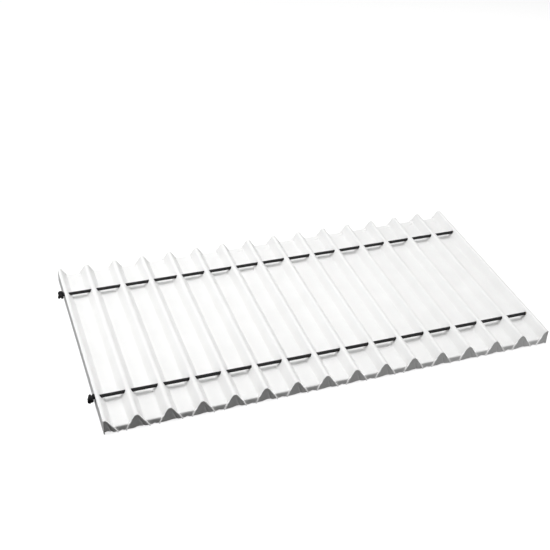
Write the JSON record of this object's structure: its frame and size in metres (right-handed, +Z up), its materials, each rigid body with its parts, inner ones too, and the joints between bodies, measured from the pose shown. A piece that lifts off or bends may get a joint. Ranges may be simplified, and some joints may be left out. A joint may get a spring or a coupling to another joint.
{
  "type": "bracelet display pad",
  "caption": "Flat white leatherette display pad with long channels between rounded ridges, and black elastic cords that hold bracelets down.",
  "frame": {"origin": "middle of the footprint, on the underside of the backing card", "axes": "+X along the pad's length, across the channels, away from the knotted side; +Y along the channels, towards the rear; +Z up"},
  "size_m": [0.3649, 0.1938, 0.0127],
  "materials": {
    "white_leatherette": "matte, fine grain",
    "black_elastic": "matte, braided",
    "ridge_wood": "bare",
    "grey_board": "bare pressed board",
    "backing_card": "plain card"
  },
  "bodies": {
    "pad": {"leatherette_cover": "white_leatherette", "front_end_facing": "white_leatherette", "rear_end_facing": "white_leatherette", "left_edge_core": "ridge_wood", "ridge_core_01": "ridge_wood", "ridge_core_02": "ridge_wood", "ridge_core_03": "ridge_wood", "ridge_core_04": "ridge_wood", "ridge_core_05": "ridge_wood", "ridge_core_06": "ridge_wood", "ridge_core_07": "ridge_wood", "ridge_core_08": "ridge_wood", "ridge_core_09": "ridge_wood", "ridge_core_10": "ridge_wood", "ridge_core_11": "ridge_wood", "ridge_core_12": "ridge_wood", "ridge_core_13": "ridge_wood", "ridge_core_14": "ridge_wood", "right_edge_core": "ridge_wood", "base_board": "grey_board", "backing_card": "backing_card", "front_elastic": "black_elastic", "rear_elastic": "black_elastic"},
    "front_cord_end": {"front_knot": "black_elastic"},
    "rear_cord_end": {"rear_knot": "black_elastic"}
  },
  "joints": [
    {"name": "front_cord_pull", "type": "slide", "parent": "pad", "child": "front_cord_end", "axis": [-1, 0, 0], "range_m": [0, 0.025], "stiffness_N_per_m": 20, "deforming": ["front_elastic"]},
    {"name": "rear_cord_pull", "type": "slide", "parent": "pad", "child": "rear_cord_end", "axis": [-1, 0, 0], "range_m": [0, 0.025], "stiffness_N_per_m": 20, "deforming": ["rear_elastic"]}
  ]
}
